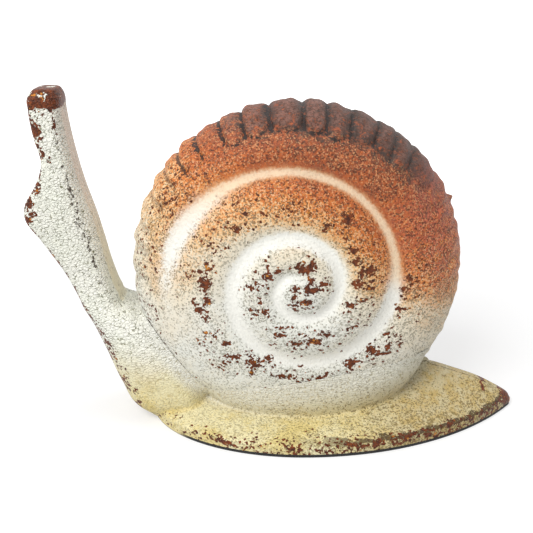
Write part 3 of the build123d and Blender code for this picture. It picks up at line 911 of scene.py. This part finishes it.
def lens_distance(points):
    """How far points lie outside the shell's plain lens."""
    reach = shell_radius - shell_rim_radius
    crown = crown_radius(shell_half_width, shell_rim_radius)
    radius = np.hypot(points[:, 0] - shell_x, points[:, 2] - shell_z)
    half = np.abs(points[:, 1])
    rise = half + crown - shell_half_width
    on_rim = np.arctan2(radius, rise) > math.atan2(reach, crown - shell_half_width)
    past_rim = np.hypot(radius - reach, half) - shell_rim_radius
    return np.where(on_rim, past_rim, np.hypot(radius, rise) - crown)


def relax(piece, weights, steps):
    """Evens the piece out over its neighbours, where the weights are above 0."""
    points, pairs = points_of(piece), edges_of(piece)
    for _ in range(steps):
        points += weights[:, None] * (neighbour_mean(pairs, points) - points)
    move_points(piece, points)


neck = wrapped_sheet("body_casting", *neck_panels, neck_place)
foot = wrapped_sheet("foot_form", *foot_panels, foot_place)
core = lens_form("core_form", -core_draw, flare_size)

bpy.ops.object.select_all(action="DESELECT")
for form in (neck, foot, core):
    form.select_set(True)
bpy.context.view_layer.objects.active = neck
bpy.ops.object.join()
casting = neck
pick(casting)
merge = casting.modifiers.new("merge", "REMESH")
merge.mode = "VOXEL"
merge.voxel_size = skin_grain
bpy.ops.object.modifier_apply(modifier=merge.name)

points = points_of(casting)
along, across, height = points.T
gap_to_shell = lens_distance(points)
crease = ((gap_to_shell > crease_gap[0]) & (gap_to_shell < crease_gap[1])).astype(float)[:, None]
pairs = edges_of(casting)
for _ in range(round(fillet_reach / skin_grain)):
    crease = np.maximum(crease, neighbour_mean(pairs, crease))
on_ridge = (along > shell_x) * (1 - smooth(np.abs(across), *ridge_spared))
in_crease = np.clip(crease[:, 0] * 1.5, 0, 1) * (1 - smooth(height, *fillet_top)) * (1 - 0.95 * on_ridge)
at_crown = smooth(height / top_height, *crown_round_shares)
at_tail_tip = smooth(along, tail_round_from, tail_end) * (height > pad_top + rim_height / 2)
relax(casting, np.full(len(points), 0.5), skin_passes)
relax(casting, 0.6 * in_crease, fillet_passes)
relax(casting, 0.5 * at_crown, crown_passes)
relax(casting, 0.5 * at_tail_tip, tip_passes)
points = points_of(casting)
burr = np.exp(-((points[:, 0] - burr_x) / ridge_burr_size)**4 - (points[:, 1] / ridge_burr_size)**2)
on_flanks = (points[:, 2] > rim_top) & (points[:, 2] < 2 * ridge_height)
points[:, 2] += ridge_burr_height * burr * on_flanks
to_tip = np.clip((points[:, 0] - tail_tip_from) / (tail_end - tail_tip_from), 0, 1)
points[:, 2] -= tail_tip_drop * to_tip**2 * np.clip(points[:, 2] - pad_top, 0, None)
move_points(casting, points)
cut(casting, lens_form("seat_form", 0, 0))
slice_off(casting, (0, 0, pad_top), (0, 0, -1))

left_body = casting
left_body.name = left_body.data.name = "left_body"
slice_off(left_body, (0, 0, 0), (0, 1, 0))
right_body = left_body.copy()
right_body.data = left_body.data.copy()
right_body.name = right_body.data.name = "right_body"
bpy.context.scene.collection.objects.link(right_body)
move_points(right_body, points_of(right_body) * (1, -1, 1))
pick(right_body)
bpy.ops.object.mode_set(mode="EDIT")
bpy.ops.mesh.select_all(action="SELECT")
bpy.ops.mesh.flip_normals()
bpy.ops.object.mode_set(mode="OBJECT")
for along_share, height_share in screw_shares:
    screw_x = nose + along_share * (cad_box[1].x - nose)
    bore(right_body, screw_bore_radius, screw_x, height_share * top_height, screw_seat)


def mark_body(piece):
    """Gives a body casting the marks that its paint follows: how far each vertex stands proud of its
    surroundings, which way it faces along the body, its nearness to the shell and its bare patches."""
    proud_size = 0.5 * MM
    proud_passes, facing_passes = 14, 4
    points, pairs = points_of(piece), edges_of(piece)
    flat = np.empty(len(points) * 3)
    piece.data.vertices.foreach_get("normal", flat)
    normals = flat.reshape(-1, 3)
    even, facing = points.copy(), normals.copy()
    for _ in range(proud_passes):
        even += 0.6 * (neighbour_mean(pairs, even) - even)
    for _ in range(facing_passes):
        facing = neighbour_mean(pairs, facing)
    on_side = 1 - smooth(facing[:, 0], 0.5, 0.75)
    mark(piece, "proud", np.clip(((points - even) * normals).sum(axis=1) / proud_size, -1, 1))
    mark(piece, "facing", facing[:, 0])
    mark(piece, "seat", 1 - smooth(lens_distance(points), *seat_reach))
    mark(piece, "worn", on_side * patches(points[:, 0], points[:, 2], body_patches))


for half_body in (left_body, right_body):
    mark_body(half_body)


def body_finish():
    """White paint that turns yellow towards the foot, with short cracks in it, dark lines along its edges,
    and rust where it is rubbed; painted shade on the back of the neck, in the hollows and near the foot."""
    cool_white, warm_white, seat_white = srgb(243, 244, 231), srgb(249, 248, 238), srgb(238, 237, 227)
    pale_yellow, deep_yellow, crease_shade_yellow = srgb(239, 230, 188), srgb(227, 208, 141), srgb(226, 200, 112)
    tail_grey, tail_ochre = srgb(206, 192, 152), srgb(198, 172, 112)
    strip_shade_low, strip_shade_high = srgb(234, 224, 192), srgb(232, 216, 200)
    white_shade, yellow_shade = srgb(212, 212, 182), srgb(222, 198, 128)
    grey_crack, ochre_crack = srgb(98, 96, 62), srgb(178, 154, 92)
    line_brown, speck_brown = srgb(62, 42, 28), srgb(112, 94, 50)
    cloud_size = 18 * MM
    blotch_size = 7 * MM
    patch_size = 6 * MM
    pebble_size = 2.4 * MM
    crack_size = 2.2 * MM
    dash_size = 2.6 * MM
    grit_size = 0.8 * MM
    crown_size = 5 * MM
    yellow_waver = 22 * MM
    crown_waver = 16 * MM
    line_waver = 4 * MM
    material, shader, coords = new_finish("crackled_body_paint")
    along, across, height = coords.parts()
    proud, facing, seat, worn = [mark_of(coords, name) for name in ("proud", "facing", "seat", "worn")]
    cloud = grain(coords, cloud_size, 3)
    blotch = grain(coords, blotch_size, 4)
    fine = grain(coords, fine_size, 3, 0.6)
    flattened = coords.node("ShaderNodeMapping", {},
                            {"Vector": coords, "Rotation": (0, 0.35, 0), "Scale": (1, 1, 1.5)})
    pebbles = cells(flattened, pebble_size, "DISTANCE_TO_EDGE", "Distance")
    wobble = line_waver * grain(coords, patch_size, 4).sway()
    low = 1 - (height + yellow_waver * cloud.sway()).step(*yellow_band)
    rearward = along.step(*rear_band)
    back = height.step(*upright_band) * (facing + 0.2 * fine.sway()).step(0.55, 0.75)
    strip = back * (across + line_waver * blotch.sway()).step(*strip_edge)
    rough = 1 - 0.6 * strip - 0.45 * low

    white = cloud.step(0.3, 0.7).mix(cool_white, warm_white)
    yellow = (cloud + 0.5 * fine.sway()).step(0.35, 0.7).mix(pale_yellow, deep_yellow)
    tail = (blotch + 0.5 * fine.sway()).step(0.36, 0.68).mix(tail_grey, tail_ochre)
    colour = low.mix(white, rearward.mix(yellow, tail))
    # Beside the shell the body takes the shell's white, with painted shade towards the foot.
    colour = seat.mix(colour, under_shade(coords, seat_white))
    # Painted shade and warm reflected light: the back of the neck is a darker, warmer white, pinker higher
    # up.
    colour = (0.85 * strip).mix(colour, height.step(*strip_fade).mix(strip_shade_low, strip_shade_high))
    # Painted shade: a deeper, darker yellow in the hollows and folds of the foot and chest.
    crease_shade = (1 - proud.step(-0.7, -0.12)) * low * (1 - seat)
    colour = (0.4 * crease_shade).mix(colour, crease_shade_yellow)
    shade = rough * (1 - pebbles.step(0.0, 0.3))
    colour = (0.12 * shade).mix(colour, low.mix(white_shade, yellow_shade))
    cracks = rough * (1 - pebbles.step(0.02, 0.1)) * grain(coords, crack_size).step(0.52, 0.59)
    colour = (0.92 * cracks).mix(colour, low.mix(grey_crack, ochre_crack))

    back_edge = (facing + 0.8 * fine.sway() + 0.3 * blotch.sway()).near(0.5, 0.16).step(0.3, 0.6)
    on_neck = height.step(*edge_crack_from) * (1 - height.step(*edge_crack_to))
    edge_cracks = back_edge * on_neck * grain(coords, dash_size, 3).step(0.48, 0.54)
    under_rim = (height + wobble).near(rim_top, rim_line_reach).step(0.15, 0.35)
    rim_line = under_rim * fine.step(0.36, 0.43) * along.step(*rim_line_from)
    beside_ridge = (across.math("ABSOLUTE", across, 0) + 0.3 * wobble).near(seam_place, seam_reach)
    seam = beside_ridge * fine.step(0.4, 0.5) * along.step(*seam_from) * height.step(*seam_above)
    dark_lines = edge_cracks.top(rim_line).top(seam)
    colour = (0.9 * dark_lines).mix(colour, line_brown)
    to_rim = 1 - height.step(rim_top, rim_top + rim_speck_reach)
    crowded = 0.3 * to_rim * (0.5 + 0.5 * rearward) + 0.3 * blotch.sway()
    specks = low * (cells(coords, grit_size, "F1", "Color").parts()[0] + crowded).step(0.74, 1.0)
    colour = (0.75 * specks * (0.5 + 0.5 * along.step(*speck_from))).mix(colour, speck_brown)

    spared = height.step(*crown_top) * grain(coords, crown_size, 3).step(0.58, 0.62)
    crown = (height + crown_waver * blotch.sway()).step(*crown_band) * (1 - 0.9 * spared)
    chest = (1 - facing.step(-0.75, -0.2)) * (1 - along.step(*chest_end)) * height.step(*front_from)
    front = chest * blotch.step(0.4, 0.56) * (0.75 + 0.25 * height.step(*front_full))
    rubbed = crown.top(0.68 * front).top(0.9 * (along + wobble).step(*tail_tip_bare))
    rim = 1 - height.step(rim_top - rim_wear_below, rim_top + rim_wear_above)
    rim_patches = rim * grain(coords, patch_size, 3).step(0.4, 0.58)
    rim_wear = 0.6 * rim_patches * (0.35 + 0.65 * along.step(*rim_wear_from))
    chance = (0.75 * proud.step(0.3, 0.8)).top(rim)
    relief = rough * (0.8 * pebbles.step(0.0, 0.3) + 0.4 * fine) - 0.7 * dark_lines
    worn_paint(shader, coords, colour, relief, worn.top(rubbed).top(rim_wear), chance)
    return material


body_paint = body_finish()
for half_body, node_name in ((left_body, "left_body_half"), (right_body, "right_body_half")):
    half_body.data.materials.clear()
    half_body.data.materials.append(body_paint)
    pick(half_body)
    bpy.ops.object.shade_smooth()
    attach(half_body, "root")
    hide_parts(node_name)


# Stage: a white floor that keeps the object's shadow, soft lamps, and the camera of the photograph.
# None of it belongs to the object.
camera_distance = 500 * MM
camera_lift = math.radians(20)
aim = Vector((-8.7 * MM, 0, 96 * MM))
film_width = 36
lens_share = 800 / 533
near_clip = 10 * MM
floor_size = 30
floor_colour = (0.6, 0.6, 0.6, 1)
floor_glow = (0.42, 0.42, 0.42, 1)
glow_range = (0.25, 0.7)
sky_light = (0.47, 0.47, 0.47, 1)
white = (1, 1, 1, 1)
black = (0, 0, 0, 1)
# Lamps: name, place, size and power
lamps = [("key_lamp", (-0.9, -1.2, 1.5), 1.2, 32), ("top_lamp", (0.2, 0.2, 1.8), 1.0, 8)]


def seen_directly(tree):
    """1 for what the camera sees, straight or in a reflection, and 0 for light that falls on things."""
    rays = Wire(tree).node("ShaderNodeLightPath", {}, {}).socket.node
    camera_ray, glossy, through_glass = [Wire(tree, rays.outputs[name]) for name in
                                         ("Is Camera Ray", "Is Glossy Ray", "Is Transmission Ray")]
    return camera_ray.top(glossy).top(through_glass)


bpy.ops.object.select_all(action="DESELECT")
bpy.ops.mesh.primitive_plane_add(size=floor_size)
floor = bpy.context.object
floor.name = "floor"
material, shader, coords = new_finish("white_floor")
away = coords.node("ShaderNodeVectorMath", {"operation": "LENGTH"}, {0: coords}, "Value")
glow = away.step(*glow_range).mix(floor_glow, white)
feed(shader, Base_Color=floor_colour, Roughness=1.0, Emission_Strength=1.0,
     Emission_Color=seen_directly(coords.tree).mix(black, glow))
floor.data.materials.append(material)

world = bpy.data.worlds.new("studio")
bpy.context.scene.world = world
world.use_nodes = True
feed(world.node_tree.nodes["Background"], Strength=1.0,
     Color=seen_directly(world.node_tree).mix(sky_light, white))


def lamp(name, place, size, power):
    """A soft square lamp that faces the object."""
    bpy.ops.object.select_all(action="DESELECT")
    bpy.ops.object.light_add(type="AREA", location=place)
    light = bpy.context.object
    light.name = name
    light.data.size = size
    light.data.energy = power
    light.rotation_euler = (aim - light.location).to_track_quat("-Z", "Y").to_euler()


for lamp_values in lamps:
    lamp(*lamp_values)

bpy.ops.object.camera_add()
camera = bpy.context.object
camera.location = aim + camera_distance * Vector((0, -math.cos(camera_lift), math.sin(camera_lift)))
camera.rotation_euler = (math.pi / 2 - camera_lift, 0, 0)
camera.data.sensor_width = film_width
camera.data.lens = film_width * lens_share
camera.data.clip_start = near_clip
bpy.context.scene.camera = camera
bpy.context.scene.view_settings.view_transform = "Standard"
